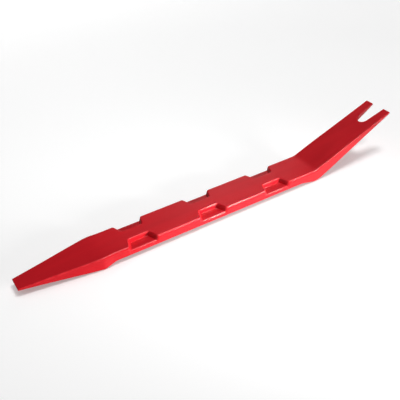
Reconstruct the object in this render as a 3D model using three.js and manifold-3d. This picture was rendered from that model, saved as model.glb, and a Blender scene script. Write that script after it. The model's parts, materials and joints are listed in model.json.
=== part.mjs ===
// A one-piece moulded hive tool: a flat bar with a pry blade at one end, an upturned fork at
// the other and three pairs of half-depth notches in its long edges.
// Millimetres. X runs along the bar from the blade (-) to the fork (+), Y across it, Z up.
// The drawing origin is on the top face of the bar, midway between the middle pair of notches.
import * as THREE from 'three';
import { mergeVertices } from 'three/addons/utils/BufferGeometryUtils.js';
import Module from 'manifold-3d';

// ---- driving dimensions ----
const overallLength = 250;
const barWidth = 22.7;
const barThickness = 6;

const bladeTipX = -115.6;
const bladeTipWidth = 9.9;
const bladeTipThickness = 1.1;
const bladeTipDrop = 3.1;
const bladeRootX = -69.8;
const bladeRootWidth = 23.6;
const bladeShoulderLength = 6;

const heelDepth = 8.055;
const heelRadius = 8;
const bladeHeelX = -69.3;
const bladeHeelRampEndX = -62.4;

const bendX = 75.1;
const bendRadius = 11;
const forkRiseAngle = THREE.MathUtils.degToRad(19.8);
const forkTipThickness = 1.15;
const forkTipWidth = 21;
const forkHeelRampStartX = 64.5;
const forkHeelX = 76;
const forkHeelDepth = 8.6;
const forkHeelRadius = 12;

const slotDepth = 15.9;
const slotMouthWidth = 9.3;
const slotRootWidth = 7.1;
const slotCornerRadius = 3.4;

const notchPitch = 45.4;
const notchesPerSide = 3;
const notchOpening = 17.7;
const notchInnerLength = 12.8;
const notchInset = 6.9;
const notchDrop = 2.8;
const notchEndLean = 0.95;

const clearance = 5;
const arcSegments = 8;
const weldTolerance = 1e-4;

// ---- derived places ----
const forkTipX = bladeTipX + overallLength;
const forkTipZ = (forkTipX - bendX) * Math.tan(forkRiseAngle);
const slotRootX = forkTipX - slotDepth;
const halfBar = barWidth / 2;
const webHalfWidth = halfBar - notchInset;

const wasm = await Module();
wasm.setup();

// A manifold solid from a closed three.js geometry.
function toSolid(geometry) {
  const bare = geometry.clone();
  bare.deleteAttribute('normal');
  bare.deleteAttribute('uv');
  const welded = mergeVertices(bare.index ? bare.toNonIndexed() : bare, weldTolerance);
  return new wasm.Manifold(new wasm.Mesh({
    numProp: 3,
    vertProperties: new Float32Array(welded.attributes.position.array),
    triVerts: new Uint32Array(welded.index.array),
  }));
}

// A three.js geometry from a manifold solid.
function toGeometry(solid) {
  const data = solid.getMesh();
  const geometry = new THREE.BufferGeometry();
  geometry.setAttribute('position', new THREE.BufferAttribute(data.vertProperties, 3));
  geometry.setIndex(new THREE.BufferAttribute(data.triVerts, 1));
  geometry.computeVertexNormals();
  return geometry;
}

// A closed outline through the corners [x, y, radius], each rounded by an arc of its radius.
function roundedOutline(corners) {
  const shape = new THREE.Shape();
  corners.forEach(([x, y, radius = 0], i) => {
    const corner = new THREE.Vector2(x, y);
    const before = new THREE.Vector2(...corners.at(i - 1)).sub(corner).normalize();
    const after = new THREE.Vector2(...corners[(i + 1) % corners.length]).sub(corner).normalize();
    const reach = i ? 'lineTo' : 'moveTo';
    if (!radius) {
      shape[reach](x, y);
      return;
    }
    const halfAngle = Math.acos(THREE.MathUtils.clamp(before.dot(after), -1, 1)) / 2;
    const tangentLength = radius / Math.tan(halfAngle);
    const towardCentre = before.clone().add(after).normalize();
    const centre = corner.clone().addScaledVector(towardCentre, radius / Math.sin(halfAngle));
    const from = corner.clone().addScaledVector(before, tangentLength);
    const to = corner.clone().addScaledVector(after, tangentLength);
    shape[reach](from.x, from.y);
    const startAngle = Math.atan2(from.y - centre.y, from.x - centre.x);
    const endAngle = Math.atan2(to.y - centre.y, to.x - centre.x);
    shape.absarc(centre.x, centre.y, radius, startAngle, endAngle, before.cross(after) > 0);
  });
  return shape;
}

// The side view of the whole tool, extruded across more than its width.
function sideProfileSolid() {
  const outline = roundedOutline([
    [bladeTipX, -bladeTipDrop],
    [bladeTipX, -bladeTipDrop - bladeTipThickness],
    [bladeHeelX, -heelDepth, heelRadius],
    [bladeHeelRampEndX, -barThickness, heelRadius],
    [forkHeelRampStartX, -barThickness, heelRadius],
    [forkHeelX, -forkHeelDepth, forkHeelRadius],
    [forkTipX, forkTipZ - forkTipThickness],
    [forkTipX, forkTipZ],
    [bendX, 0, bendRadius],
    [bladeRootX, 0],
  ]);
  const width = barWidth + 2 * clearance;
  const geometry = new THREE.ExtrudeGeometry(outline, {
    depth: width, bevelEnabled: false, curveSegments: arcSegments,
  });
  geometry.rotateX(Math.PI / 2);
  geometry.translate(0, width / 2, 0);
  return toSolid(geometry);
}

// The top view of the whole tool, slot included, extruded through its full height.
function planOutlineSolid() {
  const nearHalf = [
    [bladeTipX, -bladeTipWidth / 2],
    [bladeRootX, -bladeRootWidth / 2],
    [bladeRootX + bladeShoulderLength, -halfBar],
    [bendX, -halfBar],
    [forkTipX, -forkTipWidth / 2],
    [forkTipX, -slotMouthWidth / 2],
    [slotRootX, -slotRootWidth / 2, slotCornerRadius],
  ];
  const farHalf = nearHalf.map(([x, y, radius]) => [x, -y, radius]).reverse();
  const bottom = -forkHeelDepth - clearance;
  const geometry = new THREE.ExtrudeGeometry(roundedOutline([...nearHalf, ...farHalf]), {
    depth: forkTipZ + clearance - bottom, bevelEnabled: false, curveSegments: arcSegments,
  });
  geometry.translate(0, 0, bottom);
  return toSolid(geometry);
}

// The material that one notch removes from the near edge: its ends slant in plan and lean
// outward towards the top, and it runs on past the top and the side of the bar.
function notchCutter(centreX) {
  const slant = (notchOpening - notchInnerLength) / 2 / notchInset;
  const leanPerHeight = notchEndLean / notchDrop;
  const plan = (grow) => {
    const inner = notchInnerLength / 2 + grow;
    const outer = inner + slant * (notchInset + clearance);
    return [[-inner, -webHalfWidth], [inner, -webHalfWidth],
      [outer, -halfBar - clearance], [-outer, -halfBar - clearance]];
  };
  const floor = plan(-notchEndLean).map(([x, y]) => [centreX + x, y, -notchDrop]);
  const lid = plan(leanPerHeight * clearance).map(([x, y]) => [centreX + x, y, clearance]);
  const geometry = new THREE.BufferGeometry();
  geometry.setAttribute('position', new THREE.Float32BufferAttribute([...floor, ...lid].flat(), 3));
  geometry.setIndex([
    0, 1, 2, 0, 2, 3, 4, 6, 5, 4, 7, 6,
    0, 4, 5, 0, 5, 1, 1, 5, 6, 1, 6, 2,
    2, 6, 7, 2, 7, 3, 3, 7, 4, 3, 4, 0,
  ]);
  return toSolid(geometry);
}

function toolGeometry() {
  let solid = sideProfileSolid().intersect(planOutlineSolid());
  for (let i = 0; i < notchesPerSide; i += 1) {
    const centreX = (i - (notchesPerSide - 1) / 2) * notchPitch;
    const near = notchCutter(centreX);
    solid = solid.subtract(near).subtract(near.rotate([0, 0, 180]).translate([2 * centreX, 0, 0]));
  }
  return toGeometry(solid);
}

// The one moulded piece, standing on its two heels with its box centred on the vertical axis.
function toolBody() {
  const plastic = new THREE.MeshStandardMaterial({ color: 0xc4161f, roughness: 0.5, metalness: 0 });
  const mesh = new THREE.Mesh(toolGeometry(), plastic);
  mesh.name = 'tool_body';
  const box = new THREE.Box3().setFromObject(mesh);
  mesh.position.set(-(box.min.x + box.max.x) / 2, 0, -box.min.z);
  return mesh;
}

const hiveTool = new THREE.Group();
hiveTool.add(toolBody());

export default hiveTool;
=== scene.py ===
"""A one-piece hive tool in moulded red plastic, on a pale studio floor.

The CAD body is replaced by one fine mesh of the same shape with the mould's rounded edges. The mesh is a top
sheet and an underside sheet over one shared plan grid, joined by a wall round the grid's outline. Metres.
"""
import json
import math

import bmesh
import bpy
import numpy as np
from mathutils import Matrix, Vector


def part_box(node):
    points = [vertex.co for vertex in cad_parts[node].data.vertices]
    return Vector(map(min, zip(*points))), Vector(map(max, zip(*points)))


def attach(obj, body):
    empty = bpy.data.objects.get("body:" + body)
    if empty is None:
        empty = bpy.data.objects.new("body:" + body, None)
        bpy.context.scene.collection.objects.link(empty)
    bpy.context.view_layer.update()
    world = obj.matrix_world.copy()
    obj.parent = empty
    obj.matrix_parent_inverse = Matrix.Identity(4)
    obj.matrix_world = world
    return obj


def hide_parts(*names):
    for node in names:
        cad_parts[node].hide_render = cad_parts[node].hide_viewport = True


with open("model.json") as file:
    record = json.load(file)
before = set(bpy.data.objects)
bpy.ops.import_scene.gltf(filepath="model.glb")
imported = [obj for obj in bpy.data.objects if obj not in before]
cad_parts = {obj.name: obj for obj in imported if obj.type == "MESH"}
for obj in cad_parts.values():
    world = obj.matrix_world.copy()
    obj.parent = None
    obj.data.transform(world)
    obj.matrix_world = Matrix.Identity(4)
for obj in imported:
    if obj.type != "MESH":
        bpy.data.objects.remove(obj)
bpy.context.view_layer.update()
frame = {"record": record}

MM = 0.001

# ---- places read from the frame ----
LOW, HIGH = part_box("tool_body")
RECORD = frame["record"]


def mount_height(name):
    return next(m["pos_m"][2] for m in RECORD["mounts"] if m["name"] == name)


def notch_centres():
    boxes = [o["box_m"] for o in RECORD["physics"]["openings"] if o["name"].endswith("_notch_near")]
    return sorted((low[0] + high[0]) / 2 for low, high in boxes)


TOP_Z = mount_height("bar_top")
UNDER_Z = mount_height("bar_underside")
NOTCH_XS = notch_centres()
MIDDLE_X = NOTCH_XS[1]
TIP_X = LOW.x
FORK_X = HIGH.x

# ---- bar ----
HALF_BAR = 11.35 * MM
EDGE_RADIUS = 1.35 * MM
UNDER_EDGE_RADIUS = 1.15 * MM

# ---- blade ----
BLADE_TIP_HALF = 4.95 * MM
BLADE_TIP_THICKNESS = 1.1 * MM
BLADE_TIP_DROP = 3.1 * MM
BLADE_EDGE_RADIUS = 0.7 * MM
BLADE_ROOT_X = MIDDLE_X - 69.8 * MM
BLADE_ROOT_HALF = 11.8 * MM
SHOULDER_LENGTH = 6 * MM
SHOULDER_EASE = 1.5 * MM  # an ease is how far from a bend of the line its easing starts and ends
ROOT_EASE = 5 * MM
BLADE_HEEL_X = MIDDLE_X - 69.3 * MM
BLADE_HEEL_Z = TOP_Z - 8.055 * MM
BLADE_RAMP_END_X = MIDDLE_X - 62.4 * MM
BLADE_RAMP_EASE = 1.4 * MM

# ---- fork ----
BEND_X = MIDDLE_X + 75.1 * MM
BEND_EASE = 1.9 * MM
BEND_WIDTH_EASE = 4 * MM
FORK_RISE = math.tan(math.radians(19.8))
FORK_TIP_THICKNESS = 1.15 * MM
FORK_TIP_HALF = 10.5 * MM
FORK_EDGE_RADIUS = 0.5 * MM
TIP_EDGE_RADIUS = 0.25 * MM
FORK_RAMP_X = MIDDLE_X + 64.5 * MM
FORK_RAMP_EASE = 1.5 * MM
FORK_HEEL_X = MIDDLE_X + 76 * MM
FORK_HEEL_Z = TOP_Z - 8.6 * MM
SLOT_DEPTH = 15.9 * MM
SLOT_RADIUS = 3.55 * MM
SLOT_FLARE = math.radians(5.2)
SLOT_EDGE_RADIUS = 0.35 * MM

# ---- where the edge's rounding changes ----
BLADE_EDGE_STARTS = 12 * MM
BLADE_EDGE_ENDS = 7 * MM
BAR_EDGE_MARGIN = 3 * MM
BEND_EDGE_MARGIN = 4 * MM
FORK_EDGE_STARTS = 12 * MM
FORK_EDGE_ENDS = 16 * MM
TIP_EASE = 8 * MM
EDGE_EASE = 4 * MM

# ---- notches ----
NOTCH_OPENING = 17.7 * MM
NOTCH_INNER = 12.8 * MM
NOTCH_INSET = 6.9 * MM
NOTCH_DROP = 2.8 * MM
NOTCH_LEAN = 0.95 * MM
BACK_WALL_DRAFT = 0.15 * MM
CREST_RADIUS = 0.85 * MM
FILLET_RADIUS = 0.25 * MM
PAD_CORNER = 0.4          # the pads' corners are rounded back by this share of the notch's slant
WEB_HALF = HALF_BAR - NOTCH_INSET
NOTCH_SLANT = (NOTCH_OPENING - NOTCH_INNER) / 2

# ---- how finely the surface is cut ----
SUPPORT = 0.15 * MM       # a flat row or column this close to each rounding keeps the flats flat
TIP_RADIUS = 0.18 * MM
ROUND_STEPS = 6
STEP_SEGMENTS = 5
ROW_SPACING = 2.5 * MM
SMALLEST_GAP = 0.1 * MM
RAMP_MARGIN = 2 * MM
BEND_STEPS = 9
WEB_COLUMNS = 5
NOTCH_COLUMNS = 6
SLOT_FAN_ROWS = 14
SLOT_MARGIN = 0.6 * MM
TURN_SHARE = 0.42         # the rounding takes at most about this share of the thickness
MOST_ROUNDING = 0.46      # a hard limit, which also holds where two roundings meet
BLEND_POWER = 6           # how sharply the rounding changes over from its own radius to that share
WALL_SHARES = (0.07, 0.5, 0.93)   # how far down the wall its extra lines lie


def soft_line(*corners):
    """A line through corners (x, value, reach), each eased by a parabola that starts reach before it."""
    xs, values, reaches = (np.array(column, float) for column in zip(*corners))
    turns = np.diff(np.diff(values) / np.diff(xs))

    def at(x):
        line = np.interp(x, xs, values)
        for corner, reach, turn in zip(xs[1:-1], reaches[1:-1], turns):
            line = line + turn * np.clip(reach - np.abs(x - corner), 0, None) ** 2 / (4 * reach)
        return line

    at.bends = [(corner, reach) for corner, reach in zip(xs[1:-1], reaches[1:-1])]
    return at


TIP_TOP_Z = TOP_Z - BLADE_TIP_DROP
FORK_TIP_Z = TOP_Z + (FORK_X - BEND_X) * FORK_RISE
top_height = soft_line(
    (TIP_X, TIP_TOP_Z, 0),
    (BLADE_ROOT_X, TOP_Z, ROOT_EASE),
    (BEND_X, TOP_Z, BEND_EASE),
    (FORK_X, FORK_TIP_Z, 0),
)
BLADE_TIP = (TIP_X, TIP_TOP_Z - BLADE_TIP_THICKNESS)
BLADE_HEEL = (BLADE_HEEL_X, BLADE_HEEL_Z)
BLADE_RAMP_END = (BLADE_RAMP_END_X, UNDER_Z)
FORK_RAMP_START = (FORK_RAMP_X, UNDER_Z)
FORK_HEEL = (FORK_HEEL_X, FORK_HEEL_Z)
FORK_TIP = (FORK_X, FORK_TIP_Z - FORK_TIP_THICKNESS)


def heel_reach(before, heel, after):
    """How far from a heel's corner its easing must start for the heel to touch the floor at its lowest."""
    fall = (before[1] - heel[1]) / (heel[0] - before[0])
    rise = (after[1] - heel[1]) / (after[0] - heel[0])
    return -heel[1] * (fall + rise) / (fall * rise)


under_height = soft_line(
    (*BLADE_TIP, 0),
    (*BLADE_HEEL, heel_reach(BLADE_TIP, BLADE_HEEL, BLADE_RAMP_END)),
    (*BLADE_RAMP_END, BLADE_RAMP_EASE),
    (*FORK_RAMP_START, FORK_RAMP_EASE),
    (*FORK_HEEL, heel_reach(FORK_RAMP_START, FORK_HEEL, FORK_TIP)),
    (*FORK_TIP, 0),
)
half_width = soft_line(
    (TIP_X, BLADE_TIP_HALF, 0),
    (BLADE_ROOT_X, BLADE_ROOT_HALF, SHOULDER_EASE),
    (BLADE_ROOT_X + SHOULDER_LENGTH, HALF_BAR, SHOULDER_EASE),
    (BEND_X, HALF_BAR, BEND_WIDTH_EASE),
    (FORK_X, FORK_TIP_HALF, 0),
)
edge_radius = soft_line(
    (TIP_X, TIP_EDGE_RADIUS, 0),
    (TIP_X + BLADE_EDGE_STARTS, BLADE_EDGE_RADIUS, TIP_EASE),
    (BLADE_ROOT_X - BLADE_EDGE_ENDS, BLADE_EDGE_RADIUS, EDGE_EASE),
    (BLADE_ROOT_X + BAR_EDGE_MARGIN, EDGE_RADIUS, EDGE_EASE),
    (BEND_X - BEND_EDGE_MARGIN, EDGE_RADIUS, EDGE_EASE),
    (BEND_X + FORK_EDGE_STARTS, FORK_EDGE_RADIUS, EDGE_EASE),
    (FORK_X - FORK_EDGE_ENDS, FORK_EDGE_RADIUS, TIP_EASE),
    (FORK_X, TIP_EDGE_RADIUS, 0),
)


def rounded_step(run, drop, crest, fillet):
    """Samples (offset, depth) down a step: flat, round crest, straight wall, round fillet, flat."""
    lean = math.atan2(drop, run)
    crest_reach = crest * math.tan(lean / 2)
    foot = run + fillet * math.tan(lean / 2)
    turns = np.linspace(0, lean, STEP_SEGMENTS + 1)
    samples = [(-crest_reach - SUPPORT, 0.0)]
    samples += [(crest * math.sin(a) - crest_reach, crest * (1 - math.cos(a))) for a in turns]
    samples += [(foot - fillet * math.sin(a), drop - fillet * (1 - math.cos(a))) for a in turns[::-1]]
    return samples + [(foot + SUPPORT, drop)]


def half_columns():
    """(y on the bar, share of the notch's depth) for each column, from the middle to the edge's rounding."""
    back_wall = rounded_step(BACK_WALL_DRAFT, NOTCH_DROP, CREST_RADIUS, FILLET_RADIUS)
    steps = [(WEB_HALF + offset, depth / NOTCH_DROP) for offset, depth in back_wall]
    edge_start = HALF_BAR - float(edge_radius(MIDDLE_X))
    web = [(y, 0.0) for y in np.linspace(0, steps[0][0], WEB_COLUMNS)[:-1]]
    floor_ys = np.linspace(steps[-1][0], edge_start - SUPPORT, NOTCH_COLUMNS)
    floor = [(y, 1.0) for y in floor_ys[1:]]
    return web + steps + floor + [(edge_start, 1.0)]


COLUMNS = half_columns()
FLAT_Y = np.array([y for y, _ in COLUMNS])
FLAT_SHARE = FLAT_Y / FLAT_Y[-1]
FLAT_DEPTH = np.array([depth for _, depth in COLUMNS])
EDGE_TURNS = np.linspace(0, math.pi / 2, ROUND_STEPS + 1)[1:]
FLAT_COUNT = len(COLUMNS)
TURN_SIN = np.concatenate([np.zeros(FLAT_COUNT), np.sin(EDGE_TURNS)])
TURN_DROP = np.concatenate([np.zeros(FLAT_COUNT), 1 - np.cos(EDGE_TURNS)])
SHARE = np.concatenate([FLAT_SHARE, np.ones(ROUND_STEPS)])
DEPTH_SHARE = np.concatenate([FLAT_DEPTH, np.ones(ROUND_STEPS)])
COLUMN_Y = FLAT_Y[-1] * SHARE + EDGE_RADIUS * TURN_SIN
SLANT_SHARE = np.clip((COLUMN_Y - WEB_HALF) / NOTCH_INSET, 0, 1) + PAD_CORNER * TURN_DROP


# ---- the plan grid ----
class Row:
    """A line of the plan grid across half the tool, with the same columns as every other row."""

    def __init__(self, x, slant=0.0, notch=0.0, end=0.0):
        self.x = x            # where it crosses the middle
        self.slant = slant    # how much further along X it is at the edge
        self.notch = notch    # share of the notch's depth along the row
        self.end = end        # share of the rounding at the tool's end


def rows_between(before, after, spacing):
    """Evenly spaced rows between two rows of one depth, turning from one's slant to the other's."""
    length = after.x - before.x
    turn = after.slant - before.slant
    count = max(2, round(length / spacing))
    shares = np.arange(1, count) / count
    return [Row(before.x + t * length, before.slant + t * turn, before.notch) for t in shares]


def notch_rows(centre):
    """The rows of one pair of notches: down one end wall, along the floor and up the other."""
    end_wall = rounded_step(NOTCH_LEAN, NOTCH_DROP, CREST_RADIUS, FILLET_RADIUS)
    down = [Row(centre - NOTCH_INNER / 2 + s, -NOTCH_SLANT, d / NOTCH_DROP) for s, d in end_wall]
    up = [Row(centre + NOTCH_INNER / 2 - s, NOTCH_SLANT, d / NOTCH_DROP) for s, d in end_wall[::-1]]
    return down + rows_between(down[-1], up[0], ROW_SPACING) + up


def end_turns():
    """(sine, rounding share) of the steps round an end's edge, from its flat side to its end face."""
    return [(math.sin(a), 1 - math.cos(a)) for a in np.linspace(0, math.pi / 2, ROUND_STEPS + 1)]


def stations(start, end):
    """X positions from start to end: even steps, and close steps where a height or the width bends."""
    xs = list(np.linspace(start, end, max(2, round((end - start) / ROW_SPACING)) + 1))
    for line in (top_height, under_height, half_width):
        for corner, reach in line.bends:
            xs += [x for x in np.linspace(corner - reach, corner + reach, BEND_STEPS) if start < x < end]
    kept = [start]
    for x in sorted(xs):
        if x - kept[-1] > SMALLEST_GAP and end - x > SMALLEST_GAP:
            kept.append(x)
    return kept + [end]


def bar_rows():
    """Every row from the blade's tip to just before the slot."""
    tip = [Row(TIP_X + TIP_RADIUS * (1 - sine), end=share) for sine, share in end_turns()[::-1]]
    blade_start = TIP_X + TIP_RADIUS + SUPPORT
    blade = [Row(x) for x in stations(blade_start, BLADE_RAMP_END_X + RAMP_MARGIN)]
    rows = tip + blade
    for centre in NOTCH_XS:
        pair = notch_rows(centre)
        rows += rows_between(rows[-1], pair[0], 2 * ROW_SPACING) + pair
    arm = [Row(x) for x in stations(FORK_RAMP_X - RAMP_MARGIN, SLOT_LAYERS_X)]
    return rows + rows_between(rows[-1], arm[0], ROW_SPACING) + arm


def slot_layers():
    """(distance from the slot's wall, rounding) of the layers that wrap round the slot, wall first."""
    turns = np.linspace(math.pi / 2, 0, STEP_SEGMENTS + 1)
    layers = [(SLOT_EDGE_RADIUS * (1 - math.sin(a)), SLOT_EDGE_RADIUS * (1 - math.cos(a))) for a in turns]
    return layers + [(SLOT_EDGE_RADIUS + SUPPORT, 0.0), (SLOT_EDGE_RADIUS + SLOT_MARGIN, 0.0)]


SLOT_LAYERS = slot_layers()
SLOT_ROOT_X = FORK_X - SLOT_DEPTH
SLOT_CENTRE_X = SLOT_ROOT_X + SLOT_RADIUS
SLOT_LAYERS_X = SLOT_ROOT_X - SLOT_LAYERS[-1][0]


class SlotRow:
    """A line from the slot's wall to the tool's edge. layer() gives its points beside the wall."""

    def __init__(self, outer_x, layer, end=0.0):
        self.outer_x = outer_x
        self.layer = layer
        self.end = end


def slot_rows():
    """The rows round half the slot: a fan round its root, then straight ones to the tine's tip."""
    last_turn = math.pi / 2 - SLOT_FLARE
    fan_end_x = SLOT_CENTRE_X - (SLOT_RADIUS + SLOT_LAYERS[-1][0]) * math.cos(last_turn)

    def fan_layer(turn):
        return lambda distance: (
            SLOT_CENTRE_X - (SLOT_RADIUS + distance) * math.cos(turn),
            (SLOT_RADIUS + distance) * math.sin(turn),
        )

    def straight_layer(x, end):
        flare = (x - SLOT_CENTRE_X) * math.tan(SLOT_FLARE)
        wall_y = SLOT_RADIUS / math.cos(SLOT_FLARE) + flare + TIP_RADIUS * end
        return lambda distance: (x, wall_y + distance / math.cos(SLOT_FLARE))

    shares = np.linspace(0, 1, SLOT_FAN_ROWS + 1)
    outer_xs = SLOT_LAYERS_X + shares * (fan_end_x - SLOT_LAYERS_X)
    fan = [SlotRow(x, fan_layer(share * last_turn)) for x, share in zip(outer_xs, shares)]
    tine_end = FORK_X - TIP_RADIUS - SUPPORT
    straight = [SlotRow(x, straight_layer(x, 0)) for x in stations(SLOT_CENTRE_X, tine_end)]
    ends = [(FORK_X - TIP_RADIUS * (1 - sine), share) for sine, share in end_turns()]
    return fan + straight + [SlotRow(x, straight_layer(x, share), share) for x, share in ends]


class Plan:
    """The plan grid's vertices and quads."""

    def __init__(self):
        self.points = []
        self.quads = []

    def add(self, x, y, notch, turn, fixed):
        """Adds vertices: place, notch depth, share of the edge's rounding, and rounding of a fixed size."""
        first = len(self.points)
        self.points += np.broadcast(x, y, notch, turn, fixed)
        return list(range(first, len(self.points)))

    def bar_row(self, row):
        """A whole row across the tool, from the near edge to the far one."""
        x = row.x + row.slant * SLANT_SHARE
        inset = TIP_RADIUS * row.end
        radius = edge_radius(x)
        y = SHARE * (half_width(x) - inset - radius) + radius * TURN_SIN
        notch = NOTCH_DROP * row.notch * DEPTH_SHARE
        half = [x, y, notch, TURN_DROP]
        x, y, notch, turn = (np.concatenate([values[:0:-1], values]) for values in half)
        side = np.where(np.arange(len(y)) < len(y) // 2, -1, 1)
        return self.add(x, side * y, notch, turn, inset)

    def slot_wall(self, row, side):
        """The points of a slot row that wrap round the slot, from its wall outwards."""
        ids = []
        for distance, rounding in SLOT_LAYERS[:-1]:
            x, y = row.layer(distance)
            ids += self.add(x, side * y, 0, 0, rounding + TIP_RADIUS * row.end)
        return ids

    def slot_flat(self, row, side):
        """The rest of a slot row, out to the tool's edge."""
        inset = TIP_RADIUS * row.end
        radius = edge_radius(row.outer_x)
        inner_x, inner_y = row.layer(SLOT_LAYERS[-1][0])
        x = inner_x + SHARE * (row.outer_x - inner_x)
        edge_start = half_width(row.outer_x) - inset - radius
        y = inner_y + SHARE * (edge_start - inner_y) + radius * TURN_SIN
        return self.add(x, side * y, 0, TURN_DROP, inset)

    def strip(self, rows):
        """Adds the quads between each row and the next."""
        for before, after in zip(rows, rows[1:]):
            for i in range(len(before) - 1):
                self.quads.append((before[i], before[i + 1], after[i + 1], after[i]))

    def outline(self):
        """The edges that only one quad has."""
        uses = {}
        for quad in self.quads:
            for a, b in zip(quad, quad[1:] + quad[:1]):
                uses.setdefault(frozenset((a, b)), []).append((a, b))
        return [found[0] for found in uses.values() if len(found) == 1]


def plan_grid():
    """The bar's rows and, going on from the last of them, the rows of the two tines."""
    plan = Plan()
    bar = [plan.bar_row(row) for row in bar_rows()]
    plan.strip(bar)
    middle = len(bar[-1]) // 2
    root, *rest = slot_rows()
    root_wall = plan.slot_wall(root, 1)
    for side, last in ((1, bar[-1][middle:]), (-1, bar[-1][middle::-1])):
        tine = [plan.slot_wall(row, side) + plan.slot_flat(row, side) for row in rest]
        plan.strip([root_wall + last] + tine)
    return plan


def sheet_heights(points):
    """The top and the underside at each point of the plan grid, with every edge's rounding taken off."""
    x, _, notch, turn, fixed = points
    top = top_height(x) - notch
    under = under_height(x)
    thickness = top - under

    def rounding(radius):
        most = TURN_SHARE * thickness
        fitting = (radius ** -BLEND_POWER + most ** -BLEND_POWER) ** (-1 / BLEND_POWER)
        return np.minimum(fitting * turn + fixed, MOST_ROUNDING * thickness)

    return top - rounding(edge_radius(x)), under + rounding(UNDER_EDGE_RADIUS)


def tool_mesh():
    """The top sheet, the underside sheet and, round the grid's outline, the wall that joins them."""
    plan = plan_grid()
    points = np.array(plan.points).T
    top, under = sheet_heights(points)
    place = points[:2]
    count = len(top)
    verts = [*zip(*place, top), *zip(*place, under)]
    faces = plan.quads + [tuple(count + i for i in reversed(quad)) for quad in plan.quads]
    outline = plan.outline()
    ladders = {}
    for i in sorted({i for edge in outline for i in edge}):
        rungs = range(len(verts), len(verts) + len(WALL_SHARES))
        verts += [(*place[:, i], top[i] + share * (under[i] - top[i])) for share in WALL_SHARES]
        ladders[i] = [i, *rungs, count + i]
    for a, b in outline:
        for step in range(len(WALL_SHARES) + 1):
            faces.append((ladders[a][step], ladders[a][step + 1], ladders[b][step + 1], ladders[b][step]))
    mesh = bpy.data.meshes.new("hive_tool_moulding")
    mesh.from_pydata(verts, [], faces)
    shape = bmesh.new()
    shape.from_mesh(mesh)
    bmesh.ops.recalc_face_normals(shape, faces=shape.faces)
    shape.to_mesh(mesh)
    shape.free()
    mesh.polygons.foreach_set("use_smooth", [True] * len(mesh.polygons))
    return mesh


# ---- edge marks, for wear and a painted edge highlight ----
EDGE_MARK = "edge"
TIGHT_RADIUS = 0.6 * MM   # an edge at least this tight is marked in full
TINY = 1e-12


def mark_edges(mesh):
    """Stores on each vertex how sharply the surface turns outward: 0 on flats, 1 on tight edges."""
    shape = bmesh.new()
    shape.from_mesh(mesh)
    layer = shape.verts.layers.float.new(EDGE_MARK)
    for vert in shape.verts:
        turns = []
        for edge in vert.link_edges:
            reach = vert.co - edge.other_vert(vert).co
            turns.append(2 * vert.normal.dot(reach) / max(reach.length_squared, TINY))
        vert[layer] = min(max(max(turns) * TIGHT_RADIUS, 0), 1)
    shape.to_mesh(mesh)
    shape.free()


# ---- materials ----
class Nodes:
    """Short calls for building the node tree of a material or a world."""

    def __init__(self, owner, shader="Principled BSDF"):
        owner.use_nodes = True
        self.tree = owner.node_tree
        self.shader = self.tree.nodes[shader]

    def make(self, kind, inputs=None, **settings):
        node = self.tree.nodes.new(kind)
        for name, value in settings.items():
            setattr(node, name, value)
        for name, value in (inputs or {}).items():
            self.put(value, node.inputs[name])
        return node

    def put(self, value, socket):
        if isinstance(value, bpy.types.NodeSocket):
            self.tree.links.new(value, socket)
        else:
            socket.default_value = value

    def noise(self, vector, scale, detail=2.0, roughness=0.5):
        inputs = {"Vector": vector, "Scale": scale, "Detail": detail, "Roughness": roughness}
        return self.make("ShaderNodeTexNoise", inputs).outputs["Fac"]

    def remap(self, value, low, high, new_low, new_high):
        inputs = {"Value": value, "From Min": low, "From Max": high, "To Min": new_low, "To Max": new_high}
        return self.make("ShaderNodeMapRange", inputs).outputs["Result"]

    def math(self, operation, a, b):
        return self.make("ShaderNodeMath", {0: a, 1: b}, operation=operation).outputs["Value"]

    def mix(self, share, a, b):
        """A colour between a and b. The Mix node has sockets for every data type, so they go by number."""
        node = self.make("ShaderNodeMix", {0: share, 6: a, 7: b}, data_type="RGBA")
        return node.outputs[2]

    def bump(self, height, strength, distance, normal=None):
        inputs = {"Height": height, "Strength": strength, "Distance": distance}
        node = self.make("ShaderNodeBump", inputs)
        if normal:
            self.put(normal, node.inputs["Normal"])
        return node.outputs["Normal"]


RED = (0.545, 0.0095, 0.0165, 1)
RED_DEEP = (0.44, 0.0068, 0.0125, 1)
# the paler red of the edges: partly rubbed wear, partly a painted highlight along the convex edges
RED_WORN_AND_PAINTED_HIGHLIGHT = (0.68, 0.04, 0.05, 1)
WHITE = (1, 1, 1, 1)
FLOW_STRETCH = (0.12, 1, 1)    # the melt flows along X, so its marks are long that way
FLOW_SCALE = 90                # a scale is about how many features there are in a metre
SATIN_SCALE = 140
PATCH_SCALE = 260
GRAIN_SCALE = 1500
SCRATCH_SCALE = 2600
MOTTLE_RANGE = (0.3, 0.7)      # a range is the part of a noise that is spread over what it drives
SATIN_RANGE = (0.1, 0.9)
PATCH_RANGE = (0.35, 0.7)
SCRATCH_RANGE = (0.5, 0.8)
ROUGHNESSES = (0.26, 0.36)
WEAR_AND_HIGHLIGHT_SHARES = (0.15, 0.75)   # how much of the wear and painted highlight the least and the most rubbed patches get
WEAR_AND_HIGHLIGHT_PALENESS = 0.7
RUBBED_POLISH = 0.06           # how much smoother rubbed edges are
GRAIN_STRENGTH = 0.8
GRAIN_HEIGHT = 0.05 * MM
SCRATCH_STRENGTH = 0.1
SCRATCH_DEPTH = 0.02 * MM
PLASTIC_SPECULAR = 0.2
PLASTIC_IOR = 1.5


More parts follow.
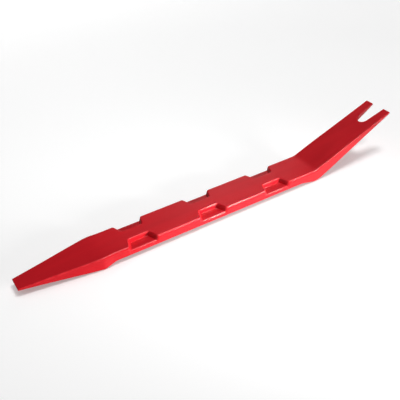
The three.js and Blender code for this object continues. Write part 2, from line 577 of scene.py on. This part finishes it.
def red_plastic():
    """Satin moulded plastic: even red with a faint flow mottle, a fine mould grain, and paler edges that are
    partly rubbed wear and partly a painted highlight.
    """
    material = bpy.data.materials.new("red_moulded_plastic")
    n = Nodes(material)
    place = n.make("ShaderNodeTexCoord").outputs["Object"]
    along = n.make("ShaderNodeMapping", {"Vector": place, "Scale": FLOW_STRETCH}).outputs["Vector"]
    edge = n.make("ShaderNodeAttribute", attribute_name=EDGE_MARK).outputs["Fac"]
    mottle = n.noise(along, FLOW_SCALE, detail=3)
    patch = n.noise(place, PATCH_SCALE, detail=4)
    # painted highlight: convex edges are painted paler, partly as rubbed wear
    edge_wear_and_highlight = n.math("MULTIPLY", edge, n.remap(patch, *PATCH_RANGE, *WEAR_AND_HIGHLIGHT_SHARES))
    colour = n.mix(n.remap(mottle, *MOTTLE_RANGE, 0, 1), RED, RED_DEEP)
    pale_wear_and_highlight = n.math("MULTIPLY", edge_wear_and_highlight, WEAR_AND_HIGHLIGHT_PALENESS)
    n.put(n.mix(pale_wear_and_highlight, colour, RED_WORN_AND_PAINTED_HIGHLIGHT), n.shader.inputs["Base Color"])
    satin = n.remap(n.noise(along, SATIN_SCALE), *SATIN_RANGE, *ROUGHNESSES)
    polish = n.math("MULTIPLY", edge, RUBBED_POLISH)
    n.put(n.math("SUBTRACT", satin, polish), n.shader.inputs["Roughness"])
    fine = n.noise(place, GRAIN_SCALE, detail=3, roughness=0.6)
    scratches = n.remap(n.noise(along, SCRATCH_SCALE, detail=3), *SCRATCH_RANGE, 0, 1)
    grain = n.bump(fine, GRAIN_STRENGTH, GRAIN_HEIGHT)
    scratched = n.bump(n.math("SUBTRACT", 0, scratches), SCRATCH_STRENGTH, SCRATCH_DEPTH, grain)
    n.put(scratched, n.shader.inputs["Normal"])
    n.shader.inputs["Specular IOR Level"].default_value = PLASTIC_SPECULAR
    n.shader.inputs["IOR"].default_value = PLASTIC_IOR
    return material


FLOOR_GREY = (0.62, 0.62, 0.62, 1)
FLOOR_ROUGHNESS = 0.9
# the floor's glow is painted light, not a lamp
FLOOR_PAINTED_GLOW = 0.45
FAR_FLOOR_PAINTED_GLOW = 0.95     # painted light further off, where the lamps don't reach
PAINTED_GLOW_RISES_FROM = 0.3     # distances from the middle of the floor
PAINTED_GLOW_FULL_AT = 1.3
# painted contact shadow: the glow is dimmed where the tool shuts the floor off
PAINTED_SHADE_REACH = 22 * MM
PAINTED_SHADE_SAMPLES = 8
CLOSED_OVER = 0.3         # how open the floor is to the sky where the tool takes its full effect
OPEN = 0.9                # and where it has none
PAINTED_SHADE_GLOW_SHARE = 0.45      # how much of the glow is left right under the tool, as a painted contact shadow


def white_floor():
    """A pale table with a painted glow from within, brighter further off, and painted shade close under the
    tool.
    """
    material = bpy.data.materials.new("pale_floor")
    n = Nodes(material)
    place = n.make("ShaderNodeTexCoord").outputs["Object"]
    away = n.make("ShaderNodeVectorMath", {0: place}, operation="LENGTH").outputs["Value"]
    # painted light: the glow grows away from the middle, where the lamps fade
    painted_glow = n.remap(away, PAINTED_GLOW_RISES_FROM, PAINTED_GLOW_FULL_AT, FLOOR_PAINTED_GLOW, FAR_FLOOR_PAINTED_GLOW)
    reach = {"Distance": PAINTED_SHADE_REACH}
    # painted shadow under and beside the tool, from how closed off the floor is
    openness = n.make("ShaderNodeAmbientOcclusion", reach, samples=PAINTED_SHADE_SAMPLES)
    painted_contact_shade = n.remap(openness.outputs["AO"], CLOSED_OVER, OPEN, PAINTED_SHADE_GLOW_SHARE, 1)
    n.put(n.math("MULTIPLY", painted_glow, painted_contact_shade), n.shader.inputs["Emission Strength"])
    n.shader.inputs["Emission Color"].default_value = WHITE
    n.shader.inputs["Base Color"].default_value = FLOOR_GREY
    n.shader.inputs["Roughness"].default_value = FLOOR_ROUGHNESS
    return material


# ---- scene ----
def build_tool():
    mesh = tool_mesh()
    mark_edges(mesh)
    mesh.materials.append(red_plastic())
    tool = bpy.data.objects.new("hive_tool_moulding", mesh)
    bpy.context.scene.collection.objects.link(tool)
    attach(tool, "root")
    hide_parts("tool_body")


FLOOR_HALF = 40.0         # so far that its edge lies at the horizon


def build_floor():
    signs = [(-1, -1), (1, -1), (1, 1), (-1, 1)]
    corners = [(x * FLOOR_HALF, y * FLOOR_HALF, 0) for x, y in signs]
    mesh = bpy.data.meshes.new("studio_floor")
    mesh.from_pydata(corners, [], [(0, 1, 2, 3)])
    mesh.materials.append(white_floor())
    floor = bpy.data.objects.new("studio_floor", mesh)
    bpy.context.scene.collection.objects.link(floor)
    floor.visible_glossy = False


CAMERA_TARGET = Vector((MIDDLE_X - 0.17 * MM, 4.18 * MM, TOP_Z))
CAMERA_DISTANCE = 379.8 * MM
CAMERA_AZIMUTH = math.radians(-28.897)
CAMERA_ELEVATION = math.radians(35.429)
CAMERA_ROLL = math.radians(-3.969)
CAMERA_LENS = 57.73
CLIP_START = 10 * MM


def direction(azimuth, elevation):
    """The unit vector towards something seen at that azimuth (0 at -Y, 90 degrees at +X) and elevation."""
    flat = math.cos(elevation)
    return Vector((math.sin(azimuth) * flat, -math.cos(azimuth) * flat, math.sin(elevation)))


def build_camera():
    back = direction(CAMERA_AZIMUTH, CAMERA_ELEVATION)
    right = (-back).cross(Vector((0, 0, 1))).normalized()
    turn = Matrix.Rotation(CAMERA_ROLL, 3, back)
    right = turn @ right
    up = back.cross(right)
    data = bpy.data.cameras.new("camera")
    data.lens = CAMERA_LENS
    data.clip_start = CLIP_START
    camera = bpy.data.objects.new("camera", data)
    camera.matrix_world = Matrix((right, up, back)).transposed().to_4x4()
    camera.location = CAMERA_TARGET + back * CAMERA_DISTANCE
    bpy.context.scene.collection.objects.link(camera)
    bpy.context.scene.camera = camera


def area_light(name, aim, azimuth, elevation, distance, size, power, spread=180):
    """A round lamp at that azimuth and elevation from aim (x, y) at the bar's height, turned towards it."""
    data = bpy.data.lights.new(name, "AREA")
    data.shape = "DISK"
    data.size = size
    data.energy = power
    data.spread = math.radians(spread)
    light = bpy.data.objects.new(name, data)
    toward = direction(math.radians(azimuth), math.radians(elevation))
    light.location = Vector((*aim, TOP_Z)) + toward * distance
    light.rotation_mode = "QUATERNION"
    light.rotation_quaternion = toward.to_track_quat("Z", "Y")
    bpy.context.scene.collection.objects.link(light)
    return light


def build_lamps():
    """Soft lamps from above, low at the right and behind, and a small one that only gives the highlights."""
    area_light("overhead", aim=(0.04, 0), azimuth=45, elevation=80, distance=0.8, size=0.25, power=4.4)
    low_key = area_light(
        "low_key_from_the_right", aim=(-0.02, 0),
        azimuth=34, elevation=8, distance=0.36, size=0.08, power=0.22, spread=50,
    )
    low_key.visible_glossy = False
    glint = area_light(
        "glint", aim=(0.02, 0),
        azimuth=36, elevation=48, distance=0.5, size=0.06, power=0.15, spread=26,
    )
    glint.visible_diffuse = False
    area_light("back_right", aim=(0, 0), azimuth=150, elevation=20, distance=0.8, size=0.35, power=0.56)
    area_light(
        "far_floor", aim=(-0.05, 0.55),
        azimuth=0, elevation=90, distance=1.0, size=0.5, power=0.4, spread=50,
    )


HORIZON_GLOW = 0.85
ZENITH_GLOW = 0.05
BAND_FULL_UP_TO = 0.02    # these two are the Z of a direction of length 1
BAND_GONE_AT = 0.16
ROOM_GLOW = 2.2
ROOM_DIM = 0.1
ROOM_SIDE = (0.6, -0.6, -0.53)   # the direction of the bright side
SIDE_STARTS = 0.87        # how closely a reflection must point at ROOM_SIDE for the glow to start
SIDE_FULL = 0.97
ROOM_TOP = -0.02          # directions with a lower Z see the room


def build_surroundings():
    """A pale band at the horizon, fading upward, and what the plastic reflects from below it.

    The floor is left out of reflections. They see a dim room with one bright side, in front at the right.
    """
    world = bpy.data.worlds.new("studio")
    bpy.context.scene.world = world
    n = Nodes(world, "Background")
    place = n.make("ShaderNodeTexCoord").outputs["Generated"]
    axes = n.make("ShaderNodeSeparateXYZ", {"Vector": place}).outputs
    sky = n.remap(axes["Z"], BAND_FULL_UP_TO, BAND_GONE_AT, HORIZON_GLOW, ZENITH_GLOW)
    toward = n.make("ShaderNodeVectorMath", {0: place, 1: ROOM_SIDE}, operation="DOT_PRODUCT")
    room = n.remap(toward.outputs["Value"], SIDE_STARTS, SIDE_FULL, ROOM_DIM, ROOM_GLOW)
    below = n.math("LESS_THAN", axes["Z"], ROOM_TOP)
    n.put(n.remap(below, 0, 1, sky, room), n.shader.inputs["Strength"])
    n.shader.inputs["Color"].default_value = WHITE


build_camera()
build_tool()
build_floor()
build_lamps()
build_surroundings()
bpy.context.scene.view_settings.view_transform = "Standard"
